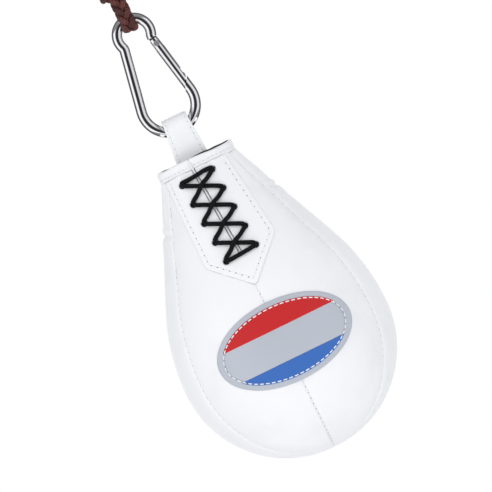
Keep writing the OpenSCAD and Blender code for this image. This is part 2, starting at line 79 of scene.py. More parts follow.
BADGE_A, BADGE_B = 49.5, 29.3
BADGE_BORDER = 3.8
BADGE_T = 1.0
FIELD_LOW, FIELD_HIGH = LAY + 0.95, LAY + 1.3
FACING_LEFT, FACING_TIP, FACING_RIGHT = -26.0, 0.5, 28.5      # across the facing
FACING_LEFT_Z, FACING_TIP_Z, FACING_RIGHT_Z = (MOUTH_Z - 74, MOUTH_Z - 98.3, MOUTH_Z - 71)


# ---------- the bag's surface
def profile(s):
    """Radius, height and outward normal at arc lengths s from the lowest point."""
    s = np.asarray(s, float)
    ball = s / BAG_R
    curve = (s - S_BELLY) / CURVE_R
    along = s - S_CONE
    low, high = s < S_BELLY, s > S_CONE
    a = np.where(low, ball - math.pi / 2, np.where(high, NECK, curve))
    r = np.where(low, BAG_R * np.sin(ball), np.where(
        high, CONE_R - along * math.sin(NECK), CURVE_X + CURVE_R * np.cos(curve)))
    z = np.where(low, BELLY_Z - BAG_R * np.cos(ball), np.where(
        high, CONE_Z + along * math.cos(NECK), BELLY_Z + CURVE_R * np.sin(curve)))
    return r, z, np.cos(a), np.sin(a)


def arc_at(z):
    """Arc length from the lowest point to the height z."""
    z = np.asarray(z, float)
    ball = BAG_R * np.arccos(np.clip((BELLY_Z - z) / BAG_R, -1, 1))
    curve = S_BELLY + CURVE_R * np.arcsin(np.clip((z - BELLY_Z) / CURVE_R, -1, 1))
    cone = S_CONE + (z - CONE_Z) / math.cos(NECK)
    return np.where(z < BELLY_Z, ball, np.where(z > CONE_Z, cone, curve))


S_TOP = float(arc_at(COLLAR_Z))


def ridge(value, width):
    """A rounded bump of height 1 where value is 0."""
    return np.exp(-(value / width) ** 2)


# pinches on the flanks: side, height, lean in mm per radian
PINCHES = ((1, -229.5, 7.0), (-1, -227.0, -5.0))
PINCH_TURN = math.radians(84)
# creases: azimuth and height of the middle, slope in mm per radian, width, depth
CREASES = ((1.05, -212, 30, 3.4, 0.75), (1.15, -246, 24, 4.5, 0.65),
           (0.98, -262, 38, 5.5, 0.5), (-1.1, -212, -26, 3.4, 0.6),
           (-1.2, -250, -20, 5.0, 0.5), (2.6, -225, 14, 4.0, 0.5),
           (-2.5, -240, -16, 4.6, 0.5), (1.22, -217, 24, 1.7, 0.5),
           (1.3, -222.5, 30, 1.6, 0.55), (1.2, -237, 20, 1.7, 0.45),
           (1.33, -243, 16, 1.6, 0.4), (-1.34, -219, -22, 1.8, 0.4))
CREASE_TURN = 0.33
GATHER_REACH = 26.0
FLAT_PULL = 0.35


def puckers(turn, s):
    """How far the filled skin stands off its plain form, in mm."""
    r, z, _, _ = profile(s)
    # the gathers under the collar die out further down
    drop = (S_TOP - s) / GATHER_REACH
    out = 0.42 * np.exp(-np.clip(drop, 0, 9) * 1.3) * (
        np.sin(9 * turn + 0.6) + 0.8 * np.sin(14 * turn + 2.1) + 0.5 * np.sin(23 * turn))
    # a pinch on each flank, and soft slanting folds round it
    for side, level, lean in PINCHES:
        across = np.abs(np.mod(turn - side * PINCH_TURN + math.pi, 2 * math.pi) - math.pi)
        line = z - level - lean * across
        out = out - 1.7 * ridge(line, 1.7) * ridge(across, 0.34)
        out = out - 0.9 * ridge(line - 5.5, 1.5) * ridge(across - 0.12, 0.2)
        out = out + 0.4 * ridge(line - 3.6, 2.2) * ridge(across, 0.36)
        out = out + 0.35 * ridge(line + 4.4, 3.0) * ridge(across, 0.36)
    for middle, level, slope, width, depth in CREASES:
        line = z - level - slope * (turn - middle)
        out = out - depth * ridge(line, width) * ridge(turn - middle, CREASE_TURN)
        out = out + 0.5 * depth * ridge(line - 1.9 * width, width) * ridge(
            turn - middle, 0.4)
    # the six gores pull a little flat between their seams
    fade = np.clip(r / 40.0, 0, 1)
    return out - FLAT_PULL * fade * np.cos(6 * turn)


def groove(turn, s):
    """The dip along each seam, in mm."""
    r, _, _, _ = profile(s)
    off = np.abs(np.mod(turn + GORE_TURN / 2, GORE_TURN) - GORE_TURN / 2) * np.maximum(r, 1)
    fade = np.clip(r / 9.0, 0.25, 1)
    return -fade * (0.75 * ridge(off, 0.75) + 0.5 * ridge(off, 3.4))


def on_skin(turn, s, off, dip=False):
    """Points of the bag's surface, off mm outside it. turn 0 is the front."""
    r, z, nr, nz = profile(s)
    push = off + puckers(turn, s) + (groove(turn, s) if dip else 0)
    r = r + push * nr
    return np.stack([r * np.sin(turn), -r * np.cos(turn), z + push * nz], -1)


def from_front(x, z, off):
    """Points of the surface seen from the front at x and z."""
    s = arc_at(z)
    r, _, nr, _ = profile(s)
    return on_skin(np.arcsin(np.clip(x / (r + off * nr), -1, 1)), s, off)


def slit_point(u, up):
    """x and z of a place u beside the slit and up its length."""
    return (SLIT_FOOT[0] + u * math.cos(SLIT_LEAN) - up * math.sin(SLIT_LEAN),
            SLIT_FOOT[1] + u * math.sin(SLIT_LEAN) + up * math.cos(SLIT_LEAN))


HOLES = [slit_point(side * LACE_REACH, up) for up in LACE_ROWS for side in (-1, 1)]


# ---------- making objects
def make(name, points, faces, materials, body, replaces=(), picks=None, uv=None):
    """A mesh piece from points in mm."""
    mesh = bpy.data.meshes.new(name)
    mesh.from_pydata((np.asarray(points, float) * MM).tolist(), [],
                     [list(map(int, f)) for f in faces])
    mesh.validate()
    for material in materials:
        mesh.materials.append(material)
    if picks is not None and len(picks) == len(mesh.polygons):
        mesh.polygons.foreach_set("material_index", picks)
    if uv is not None:
        layer = mesh.uv_layers.new(name="lay")
        uv = np.asarray(uv, float)
        index = np.empty(len(mesh.loops), int)
        mesh.loops.foreach_get("vertex_index", index)
        layer.data.foreach_set("uv", uv[index].ravel())
    mesh.polygons.foreach_set("use_smooth", [True] * len(mesh.polygons))
    mesh.update()
    thing = bpy.data.objects.new(name, mesh)
    bpy.context.scene.collection.objects.link(thing)
    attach(thing, body)
    if replaces:
        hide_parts(*replaces)
    return thing


def grid_faces(rows, cols, wrap=False, first=0):
    """Quads over a grid of points."""
    faces = []
    for i in range(rows - 1):
        for j in range(cols if wrap else cols - 1):
            k = (j + 1) % cols
            faces.append((first + i * cols + j, first + i * cols + k,
                          first + (i + 1) * cols + k, first + (i + 1) * cols + j))
    return faces


def unit(v):
    return v / np.maximum(np.linalg.norm(v, axis=-1, keepdims=True), 1e-9)


def tangents(path):
    """The way a path runs at each of its points."""
    return unit(np.gradient(path, axis=0))


def lengths(path):
    """The length of a path up to each of its points."""
    return np.concatenate([[0], np.cumsum(np.linalg.norm(np.diff(path, axis=0), axis=1))])


def smooth_path(points, step):
    """A Catmull-Rom curve through points, cut into steps of about step mm."""
    p = np.asarray(points, float)
    p = np.vstack([2 * p[0] - p[1], p, 2 * p[-1] - p[-2]])
    out = []
    for i in range(1, len(p) - 2):
        n = max(2, int(np.linalg.norm(p[i + 1, :3] - p[i, :3]) / step) + 1)
        for t in np.arange(n) / n:
            out.append(0.5 * (2 * p[i] + (p[i + 1] - p[i - 1]) * t
                              + (2 * p[i - 1] - 5 * p[i] + 4 * p[i + 1] - p[i + 2]) * t * t
                              + (3 * p[i] - p[i - 1] - 3 * p[i + 1] + p[i + 2]) * t ** 3))
    out.append(p[-2])
    return np.array(out)


def tube(path, wide, thick, up, sides=12, power=2.0):
    """Points, faces and UVs of a section swept along path; up gives its thickness way."""
    path = np.asarray(path, float)
    count = len(path)
    along = tangents(path)
    up = np.broadcast_to(np.asarray(up, float), path.shape)
    side = unit(np.cross(along, up))
    up = unit(np.cross(side, along))
    wide = np.broadcast_to(wide, (count,))[:, None, None]
    thick = np.broadcast_to(thick, (count,))[:, None, None]
    a = 2 * math.pi * np.arange(sides) / sides
    c, s = np.cos(a), np.sin(a)
    c = np.sign(c) * np.abs(c) ** (2 / power)
    s = np.sign(s) * np.abs(s) ** (2 / power)
    ring = (side[:, None] * wide * c[None, :, None] + up[:, None] * thick * s[None, :, None])
    points = (path[:, None] + ring).reshape(-1, 3)
    faces = grid_faces(count, sides, wrap=True)
    faces.append(tuple(range(sides - 1, -1, -1)))
    faces.append(tuple((count - 1) * sides + k for k in range(sides)))
    far = lengths(path)
    uv = np.stack(np.broadcast_arrays(far[:, None], a[None, :] / (2 * math.pi)), -1)
    return points, faces, uv.reshape(-1, 2)


def joined(parts):
    """Several (points, faces, uv) as one."""
    points, faces, uvs, first = [], [], [], 0
    for p, f, u in parts:
        points.append(p)
        faces += [tuple(first + k for k in face) for face in f]
        uvs.append(u)
        first += len(p)
    return np.vstack(points), faces, np.vstack(uvs)


# ---------- materials
def node(tree, kind, **values):
    """A shader node with its settings and inputs filled in."""
    made = tree.nodes.new(kind)
    for key, value in values.items():
        if hasattr(made, key):
            setattr(made, key, value)
        else:
            made.inputs[key.replace("_", " ")].default_value = value
    return made


def maths(tree, operation, *values):
    """The output of a Math node whose inputs are numbers or other nodes' outputs."""
    made = node(tree, "ShaderNodeMath", operation=operation)
    for place, value in zip(made.inputs, values):
        if isinstance(value, (int, float)):
            place.default_value = value
        else:
            tree.links.new(value, place)
    return made.outputs[0]


def surface(name, color, rough, metal=0.0, coat=0.0, sheen=0.0, bump=None, speckle=None,
            gloss=0.5):
    """A Principled material. bump is (kind, scale, strength, depth in mm)."""
    mat = bpy.data.materials.new(name)
    mat.use_nodes = True
    tree = mat.node_tree
    shader = tree.nodes["Principled BSDF"]
    shader.inputs["Base Color"].default_value = (*color, 1)
    shader.inputs["Roughness"].default_value = rough
    shader.inputs["Metallic"].default_value = metal
    shader.inputs["Specular IOR Level"].default_value = gloss
    shader.inputs["Coat Weight"].default_value = coat
    shader.inputs["Coat Roughness"].default_value = 0.3
    shader.inputs["Sheen Weight"].default_value = sheen
    place = node(tree, "ShaderNodeTexCoord")
    link = tree.links.new
    if bump:
        kind, scale, strength, depth = bump
        lift = node(tree, "ShaderNodeBump", Strength=strength, Distance=depth * MM)
        if kind == "grain":
            cells = node(tree, "ShaderNodeTexVoronoi", Scale=scale)
            cloud = node(tree, "ShaderNodeTexNoise", Scale=scale * 0.35, Detail=4.0)
            link(place.outputs["Object"], cells.inputs["Vector"])
            link(place.outputs["Object"], cloud.inputs["Vector"])
            link(maths(tree, "ADD", cells.outputs["Distance"], cloud.outputs["Fac"]),
                 lift.inputs["Height"])
        elif kind == "noise":
            cloud = node(tree, "ShaderNodeTexNoise", Scale=scale, Detail=6.0)
            link(place.outputs["Object"], cloud.inputs["Vector"])
            link(cloud.outputs["Fac"], lift.inputs["Height"])
        else:
            # ribs from the UVs: one set for a twist, two crossing sets for a braid
            split = node(tree, "ShaderNodeSeparateXYZ")
            link(place.outputs["UV"], split.inputs[0])
            along = maths(tree, "MULTIPLY", split.outputs["X"], scale)
            waves = []
            for ribs in (8, -8) if kind == "braid" else (3,):
                lay = maths(tree, "MULTIPLY_ADD", split.outputs["Y"], ribs, along)
                waves.append(maths(tree, "SINE", maths(tree, "MULTIPLY", lay, 2 * math.pi)))
            link(maths(tree, "MAXIMUM", *waves) if len(waves) == 2 else waves[0],
                 lift.inputs["Height"])
        link(lift.outputs["Normal"], shader.inputs["Normal"])
    if speckle:
        other, scale, low, high = speckle
        cloud = node(tree, "ShaderNodeTexNoise", Scale=scale, Detail=5.0)
        link(place.outputs["Object"], cloud.inputs["Vector"])
        ramp = node(tree, "ShaderNodeValToRGB")
        ramp.color_ramp.elements[0].position = low
        ramp.color_ramp.elements[0].color = (*color, 1)
        ramp.color_ramp.elements[1].position = high
        ramp.color_ramp.elements[1].color = (*other, 1)
        link(cloud.outputs["Fac"], ramp.inputs["Fac"])
        link(ramp.outputs["Color"], shader.inputs["Base Color"])
    return mat


WHITE = (0.89, 0.89, 0.905)
leather = surface("white_leathercloth", WHITE, 0.46, coat=0.12,
                  bump=("grain", 620, 0.22, 0.22), speckle=((0.83, 0.83, 0.86), 26, 0.5, 0.8))
smooth_leather = surface("white_facing", (0.9, 0.9, 0.91), 0.5, coat=0.08,
                         bump=("grain", 760, 0.2, 0.18))
raw_edge = surface("raw_edge", (0.5, 0.3, 0.28), 0.9, bump=("noise", 900, 0.4, 0.3))
lining = surface("lining", (0.84, 0.84, 0.86), 0.9, sheen=0.2,
                 bump=("noise", 1500, 0.5, 0.2))
# near-black painted shade on the binding's inside, for the shadowed gap in the bag's mouth
painted_mouth_shade = surface("painted_mouth_shade", (0.035, 0.033, 0.035), 0.95)
thread = surface("white_thread", (0.9, 0.9, 0.91), 0.6, sheen=0.2)
# grey painted shade for the needle holes beside the stitches
pinhole = surface("pinhole", (0.36, 0.36, 0.41), 0.95)
chrome = surface("polished_steel", (0.80, 0.80, 0.81), 0.07, metal=1.0)
satin = surface("satin_steel", (0.74, 0.74, 0.76), 0.42, metal=1.0)
steel = surface("spring_steel", (0.5, 0.5, 0.52), 0.35, metal=1.0)
lace_cloth = surface("black_lace", (0.008, 0.008, 0.0095), 0.8, sheen=0.02, gloss=0.15,
                     bump=("braid", 0.42, 0.8, 0.35))
rope_brown = surface("rope_brown", (0.17, 0.052, 0.043), 0.62, gloss=0.35,
                     bump=("twist", 0.5, 1.0, 0.5),
                     speckle=((0.085, 0.028, 0.024), 900, 0.45, 0.7))
rope_black = surface("rope_black", (0.085, 0.028, 0.025), 0.62, gloss=0.35,
                     bump=("twist", 0.5, 1.0, 0.5),
                     speckle=((0.15, 0.045, 0.038), 900, 0.5, 0.75))
silver = surface("badge_silver", (0.50, 0.53, 0.59), 0.5, metal=0.12, gloss=0.3,
                 bump=("noise", 1600, 0.25, 0.15))
red = surface("badge_red", (0.56, 0.02, 0.022), 0.55, gloss=0.2,
              bump=("noise", 1600, 0.2, 0.12))
blue = surface("badge_blue", (0.045, 0.15, 0.48), 0.55, gloss=0.2,
               bump=("noise", 1600, 0.2, 0.12))
rubber = surface("bladder_rubber", (0.03, 0.03, 0.03), 0.6)

for name, mat in (("hook_body", chrome), ("gate_rivet", satin),
                  ("gate_plunger", steel), ("gate_spring", steel),
                  ("bladder", rubber), ("bladder_valve", rubber), ("valve_plug", rubber)):
    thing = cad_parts[name]
    thing.data.materials.clear()
    thing.data.materials.append(mat)

# ---------- gate
LEG_A = math.radians(10.6)
GATE_TOP = np.array([10.627, 0, -100.698])
GATE_L = 35.0
GATE_SLIM, GATE_END_SLIM = 0.93, 0.07       # share of the solid's width, less at the ends
GATE_TOP_BACK, GATE_FOOT_BACK = 0.6, 0.55   # how far each end is drawn back


def slim_gate():
    """The hook's gate, a little thinner than the wire and with worn, rounded ends."""
    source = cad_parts["hook_gate"]
    mesh = source.data.copy()
    world = np.array(source.matrix_world)
    count = len(mesh.vertices)
    flat = np.empty(count * 3)
    mesh.vertices.foreach_get("co", flat)
    points = (np.c_[flat.reshape(-1, 3), np.ones(count)] @ world.T)[:, :3] / MM - GATE_TOP
    out = np.array([math.cos(LEG_A), 0, math.sin(LEG_A)])
    up = np.array([-math.sin(LEG_A), 0, math.cos(LEG_A)])
    # a runs across the gate, b along Y and c up the gate from its hinge end
    a, b, c = points @ out, points[:, 1], points @ up
    top = np.clip((c + 1.2) / 0.9, 0, 1)
    foot = np.clip((-GATE_L + 1.5 - c) / 1.5, 0, 1)
    c = c - GATE_TOP_BACK * top + GATE_FOOT_BACK * foot
    slim = GATE_SLIM - GATE_END_SLIM * top - GATE_END_SLIM * foot
    points = GATE_TOP + np.outer(a * slim, out) + np.outer(c, up)
    points[:, 1] = b * GATE_SLIM
    mesh.vertices.foreach_set("co", (points * MM).ravel())
    mesh.materials.clear()
    mesh.materials.append(chrome)
    mesh.update()
    thing = bpy.data.objects.new("hook_gate_slim", mesh)
    bpy.context.scene.collection.objects.link(thing)
    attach(thing, "gate")
    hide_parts("hook_gate")


slim_gate()

# ---------- camera
ROLL = math.radians(26.0)
VIEW_CENTRE = (5.66, -258.2)
VIEW_WIDTH = 339.5
FAR = 12.0
SENSOR = 36
right = Vector((math.cos(ROLL), 0, -math.sin(ROLL)))
above = Vector((math.sin(ROLL), 0, math.cos(ROLL)))
back = Vector((0, -1, 0))
lens = bpy.data.cameras.new("camera")
lens.sensor_width = SENSOR
lens.lens = SENSOR * FAR / (VIEW_WIDTH * MM)
lens.clip_start, lens.clip_end = 0.1, 60
camera = bpy.data.objects.new("camera", lens)
turned = Matrix((right, above, back)).transposed().to_4x4()
turned.translation = Vector((VIEW_CENTRE[0] * MM, -FAR, VIEW_CENTRE[1] * MM))
camera.matrix_world = turned
bpy.context.scene.collection.objects.link(camera)
bpy.context.scene.camera = camera

# ---------- rope
# (y, height) of half the bight, from the ring's top, and of half the eye
BIGHT_HALF = [(-5.6, 18.6), (-5.7, 12), (-5.7, 7), (-5.7, 2.5), (-5.6, -0.5), (-5.1, -3),
              (-4, -5.1), (-2.2, -6.4), (0, -6.9)]
EYE_HALF = [(5, -37), (5.6, -33), (7, -27), (8.6, -20), (9.6, -13), (9.6, -8),
            (8.4, -3.6), (6.4, -0.7), (3.4, 1), (0, 1.5)]
bight = [(y, z + RING_TOP_Z) for y, z in BIGHT_HALF]
bight += [(-y, z) for y, z in bight[-2::-1]]
eye = EYE_HALF + [(-y, z) for y, z in EYE_HALF[-2::-1]]
through = [(5.3, -57), (5.1, -50), (5.0, -43)]      # inside the knot
rope_line = smooth_path([(0, y, z) for y, z in bight + through + eye], 1.0)
PLAIT_PITCH = 21.0
ROPE_STRAND = (2.2, 1.35, 3.6, 1.5)     # half width, half thickness, reach, rise
KNOT_STRAND = (2.3, 1.9, 2.6, 1.3)


def plait(path, up, strand_wide, strand_thick, reach, rise):
    """Three strands that cross each other along a path."""
    far = lengths(path)
    along = tangents(path)
    up = np.broadcast_to(np.asarray(up, float), path.shape)
    side = unit(np.cross(along, up))
    up = unit(np.cross(side, along))
    strands = []
    for k in range(3):
        a = 2 * math.pi * (far / PLAIT_PITCH + k / 3)
        line = path + side * (reach * np.sin(a))[:, None] + up * (rise * np.sin(2 * a))[:, None]
        strands.append(tube(line, strand_wide, strand_thick, up, sides=10))
    return strands


def rope_up(path):
    """The way the flat rope's thickness points along a route in the YZ plane."""
    return unit(np.cross(np.array([1.0, 0, 0]), tangents(path)))


strands = plait(rope_line, rope_up(rope_line), *ROPE_STRAND)
sizes = [len(s[1]) for s in strands]
points, faces, uv = joined(strands)
rope = make("rope_loop", points, faces, [rope_brown, rope_black], "rope",
            ("rope_eye", "rope_bight"), picks=np.repeat([0, 1, 0], sizes), uv=uv)

# the knot: the rope's end wound three times round both legs, over a plain core
KNOT_Z = -50.0
KNOT_RISE = 8.4
KNOT_R, KNOT_TAPER = 9.2, 0.7
turns = np.linspace(-1.5, 1.5, 121)
wound = 2 * math.pi * turns
winding = KNOT_R - KNOT_TAPER * np.abs(turns)
coil = np.stack([winding * np.sin(wound), -winding * np.cos(wound),
                 KNOT_Z + KNOT_RISE * turns * 0.98], -1)
out = unit(np.stack([np.sin(wound), -np.cos(wound), 0 * wound], -1))
wraps = plait(coil, out, *KNOT_STRAND)
core_line = np.array([(0, 0, KNOT_Z + z) for z in (-12.6, -8, 0, 8, 12.6)], float)
core = tube(core_line, np.array([5.6, 7.4, 7.6, 7.4, 5.6]),
            np.array([6.2, 7.4, 7.6, 7.4, 6.2]), (0, 1, 0), sides=24)
sizes = [len(s[1]) for s in wraps + [core]]
points, faces, uv = joined(wraps + [core])
make("knot_wraps", points, faces, [rope_brown, rope_black], "rope",
     ("rope_knot",), picks=np.repeat([0, 1, 0, 1], sizes), uv=uv)


# ---------- gores
GORE_ROWS = np.concatenate([np.linspace(0.8, 12, 8), np.linspace(14, S_TOP - 0.3, 200)])
# columns across a gore, close together at the seams
GORE_COLUMNS = np.concatenate([[0, .004, .010, .018, .03, .05], np.linspace(.08, .92, 34),
                               [.95, .97, .982, .990, .996, 1]])
HOLE_CLEAR = 2.7        # the skin is left out this close to a lace hole's middle


def seam_side(s, side):
    """Azimuth of a front gore's inner edge: the front seam, then the slit."""
    r, z, _, _ = profile(s)
    up = (z - SLIT_FOOT[1]) / math.cos(SLIT_LEAN)
    x = SLIT_FOOT[0] + side * SLIT_W / 2 - up * math.sin(SLIT_LEAN)
    return np.where(z > SLIT_FOOT[1], np.arcsin(np.clip(x / r, -1, 1)), 0.0)


def gore(name, first, side=0):
    """A gore's skin and lining. side is 1 or -1 beside the slit, and 0 elsewhere."""
    s = GORE_ROWS
    low = np.full_like(s, first)
    high = np.full_like(s, first + GORE_TURN)
    if side > 0:
        low = seam_side(s, 1)
    if side < 0:
        high = seam_side(s, -1)
    turn = low[:, None] + (high - low)[:, None] * GORE_COLUMNS[None, :]
    rows = np.broadcast_to(s[:, None], turn.shape)
    outer = on_skin(turn, rows, 0, dip=True)
    inner = on_skin(turn, rows, -SKIN_T, dip=False)
    # the top of the skin stands upright inside the collar
    lift = []
    for radius in (COLLAR_OUT - 1.05, COLLAR_OUT - 3.05):
        for z in (COLLAR_Z + 0.8, MOUTH_Z - 1.2):
            t = turn[-1]
            lift.append(np.stack([radius * np.sin(t), -radius * np.cos(t),
                                  np.full_like(t, z)], -1))
    outer = np.concatenate([outer, [lift[0], lift[1]]])
    inner = np.concatenate([inner, [lift[2], lift[3]]])
    count, cols = outer.shape[:2]
    points = np.vstack([outer.reshape(-1, 3), inner.reshape(-1, 3)])
    half = count * cols
    faces, picks = [], []
    for face in grid_faces(count, cols):
        if side:
            mid = points[list(face)].mean(0)
            if min(math.hypot(mid[0] - h[0], mid[2] - h[1]) for h in HOLES) < HOLE_CLEAR:
                continue
        faces.append(face)
        picks.append(0)
        faces.append(tuple(half + k for k in face[::-1]))
        picks.append(1)
    for j, way in ((0, 1), (cols - 1, -1)):
        for i in range(count - 1):
            a, b = i * cols + j, (i + 1) * cols + j
            quad = (a, b, half + b, half + a)
            faces.append(quad if way > 0 else quad[::-1])
            picks.append(1)
    return make(name, points, faces, [leather, lining], "bag",
                (name,), picks=picks)


gore("gore_front_right", 0.0, 1)
gore("gore_front_left", -GORE_TURN, -1)
gore("gore_side_right", GORE_TURN)
gore("gore_side_left", -2 * GORE_TURN)
gore("gore_back_right", 2 * GORE_TURN)
gore("gore_back_left", -3 * GORE_TURN)


# ---------- panels on the skin
def resampled(loop, step):
    """A closed outline in even steps of about step mm."""
    loop = np.asarray(loop, float)
    closed = np.vstack([loop, loop[:1]])
    far = lengths(closed)
    count = max(8, int(far[-1] / step))
    at = np.arange(count) * far[-1] / count
    return np.stack([np.interp(at, far, closed[:, k]) for k in (0, 1)], -1)


def rounded(loop, radius, parts=5):
    """A closed outline with its corners cut round."""
    loop = [np.array(p, float) for p in loop]
    out = []
    for i, p in enumerate(loop):
        a, b = loop[i - 1] - p, loop[(i + 1) % len(loop)] - p
        reach = min(radius, 0.45 * np.linalg.norm(a), 0.45 * np.linalg.norm(b))
        a, b = p + a / np.linalg.norm(a) * reach, p + b / np.linalg.norm(b) * reach
        for t in np.linspace(0, 1, parts):
            out.append((1 - t) ** 2 * a + 2 * t * (1 - t) * p + t * t * b)
    return np.array(out)


def edge_distance(points, loops):
    """Distance of flat points from the nearest outline, in mm."""
    best = np.full(len(points), 1e9)
    for loop in loops:
        a, b = loop, np.roll(loop, -1, 0)
        ab = b - a
        size = np.maximum((ab ** 2).sum(1), 1e-12)
        for start in range(0, len(points), 4000):
            p = points[start:start + 4000, None, :]
            t = np.clip(((p - a) * ab).sum(2) / size, 0, 1)
            gap = np.linalg.norm(p - a - t[..., None] * ab, axis=2).min(1)
            best[start:start + 4000] = np.minimum(best[start:start + 4000], gap)
    return best


def inside(points, loop):
    """Which flat points lie inside an outline."""
    x, z = points[:, 0], points[:, 1]
    hit = np.zeros(len(points), bool)
    for (xa, za), (xb, zb) in zip(loop, np.roll(loop, -1, 0)):
        cross = (za > z) != (zb > z)
        with np.errstate(divide="ignore", invalid="ignore"):
            hit ^= cross & (x < (xb - xa) * (z - za) / (zb - za) + xa)
    return hit


def panel(name, loops, low, high, grid, material, node_name, edge=None, relief=None,
          ring=1.0):
    """A flat-cut piece sewn on the skin: loops are its outline and then its holes."""
    loops = [resampled(loop, ring) for loop in loops]
    edge = edge or (high - low)
    flat = list(loops)
    for step in (0.25 * edge, 0.6 * edge, 1.05 * edge):
        for k, loop in enumerate(loops):
            along = unit(np.roll(loop, -1, 0) - np.roll(loop, 1, 0))
            normal = np.stack([-along[:, 1], along[:, 0]], -1)
            for way in (1, -1):
                moved = loop + way * step * normal
                good = inside(moved, loops[0])
                for hole in loops[1:]:
                    good &= ~inside(moved, hole)
                good &= edge_distance(moved, loops) > 0.9 * step
                flat.append(moved[good])
    x0, z0 = loops[0].min(0)
    x1, z1 = loops[0].max(0)
    cells = np.stack(np.meshgrid(np.arange(x0, x1, grid), np.arange(z0, z1, grid)),
                     -1).reshape(-1, 2)
    cells = cells[inside(cells, loops[0])]
    cells = cells[edge_distance(cells, loops) > 1.05 * edge + 0.4 * grid]
    flat.append(cells)
    edges, first = [], 0
    for loop in loops:
        n = len(loop)
        edges += [(first + i, first + (i + 1) % n) for i in range(n)]
        first += n
    coords = [Vector((float(p[0]), float(p[1]))) for p in np.vstack(flat)]
    verts, _, tris, *_ = delaunay_2d_cdt(coords, edges, [], 0, 1e-5)
    verts = np.array([tuple(v) for v in verts])
    tris = np.array(tris)
    mid = verts[tris].mean(1)
    keep = inside(mid, loops[0])
    for hole in loops[1:]:
        keep &= ~inside(mid, hole)
    tris = tris[keep]
    gap = edge_distance(verts, loops)
    t = np.clip(gap / edge, 0, 1)
    rise = low + (high - low) * np.sqrt(np.clip(1 - (1 - t) ** 2, 0, 1))
    if relief is not None:
        rise = rise + relief(verts, gap)
    top = from_front(verts[:, 0], verts[:, 1], rise)
    under = from_front(verts[:, 0], verts[:, 1], np.full(len(verts), low))
    points = np.vstack([top, under])
    n = len(verts)
    # flat triangles run so that their front is towards -Y
    a, b, c = (verts[tris[:, k]] for k in range(3))
    turn = np.cross(b - a, c - a) < 0
    tris[turn] = tris[turn][:, ::-1]
    border = set(np.flatnonzero(gap < 1e-4).tolist())
    faces = [tuple(f) for f in tris]
    faces += [tuple(k if k in border else n + k for k in f[::-1]) for f in tris]
    return make(name, points, faces, [material], "bag", (node_name,))


FACING_TOP = COLLAR_Z - 0.1
facing_loop = rounded([(FACING_LEFT, FACING_TOP), (FACING_LEFT, FACING_LEFT_Z),
                       (FACING_TIP, FACING_TIP_Z), (FACING_RIGHT, FACING_RIGHT_Z),
                       (20.7, FACING_TOP)], 3.0)


def cut_by_slit(loop):
    """The facing's outline, running down one edge of the slit and up the other."""
    half = SLIT_W / 2
    up = (FACING_TOP - SLIT_FOOT[1]) / math.cos(SLIT_LEAN)
    edge = [slit_point(half, up), slit_point(half, 30), slit_point(half, 0.4),
            slit_point(0, -0.3), slit_point(-half, 0.4), slit_point(-half, 30),
            slit_point(-half, up)]
    # the outline's top edge runs from its last corner to its first, right to left
    return [tuple(p) for p in loop] + edge


def hole_loop(centre, d):
    """The outline of a round hole."""
    a = np.linspace(0, 2 * math.pi, 17)[:-1]
    return np.stack([centre[0] + d / 2 * np.cos(a), centre[1] + d / 2 * np.sin(a)], -1)


STITCH_IN = 3.3
STITCH_DIP = 0.25
CROSS_SEAM_Z = -215.6
facing_edge = resampled(facing_loop, 0.9)


def facing_relief(p, gap):
    """A sewn edge stands a little proud, with a dip along the stitches."""
    outer = edge_distance(p, [facing_edge])
    hem = -STITCH_DIP * ridge(outer - STITCH_IN, 0.9) - 0.16 * ridge(outer - 1.5, 0.45)
    across = np.clip((p[:, 0] - 8.5) / 1.5, 0, 1) * np.clip((21.5 - p[:, 0]) / 1.0, 0, 1)
    # a short seam runs across the facing's right half
    hem = hem - 0.3 * across * ridge(p[:, 1] - CROSS_SEAM_Z - 0.04 * p[:, 0], 0.55)
    return hem * np.clip(gap / 0.8, 0, 1)


panel("lacing_facing_sewn",
      [cut_by_slit(facing_loop)] + [hole_loop(h, LACE_HOLE_D) for h in HOLES],
      LAY, LAY + FACING_T, 1.0, smooth_leather, "lacing_facing",
      edge=0.9, relief=facing_relief, ring=0.9)


def tongue():
    """The lining strip behind the slit, which the bladder presses out between its edges."""
    up = np.linspace(-3, 72.5, 64)
    u = np.array([-15.5, -12, -8, -5, -3.4, -2.4, -1.7, -1.25, -.95, -.7, -.4, 0, .4, .7, .95,
                  1.25, 1.7, 2.4, 3.4, 5, 8, 12, 15.5])
    grid_u, grid_up = np.meshgrid(u, up)
    x, z = slit_point(grid_u, grid_up)
    t = np.clip((np.abs(grid_u) - 0.5) / 0.75, 0, 1)
    far = np.clip((np.abs(grid_u) - 1.25) / 3.0, 0, 1)
    crown = 0.7 + 0.2 * np.sin(grid_up * 0.3) + 2.2 * np.clip((grid_up - 65) / 4, 0, 1)
    off = crown - (crown + 2.4) * t * t * (3 - 2 * t) - 3.9 * far
    off = off + 4.1 * (grid_u < -15)
    top = from_front(x, z, off)
    low = from_front(x, z, off - 1.2)
    points = np.vstack([top.reshape(-1, 3), low.reshape(-1, 3)])
    rows, cols = grid_u.shape
    faces = [f[::-1] for f in grid_faces(rows, cols)]
    faces += grid_faces(rows, cols, first=rows * cols)
    make("slit_tongue_pressed", points, faces, [lining], "bag", ("slit_tongue",))


tongue()


def ellipse(shrink, count=120):
    """The badge's oval, shrunk all round."""
    a = np.linspace(0, 2 * math.pi, count + 1)[:-1]
    return np.stack([BADGE_C[0] + (BADGE_A - shrink) * np.cos(a),
                     BADGE_C[1] + (BADGE_B - shrink) * np.sin(a)], -1)


def badge_relief(p, gap):
    """The dip along the badge's stitches."""
    return -0.25 * ridge(gap - BADGE_BORDER - 0.3, 0.8)


panel("badge_patch", [ellipse(0)], LAY, LAY + BADGE_T, 2.2, silver,
      "badge_base", edge=0.8, relief=badge_relief, ring=1.4)


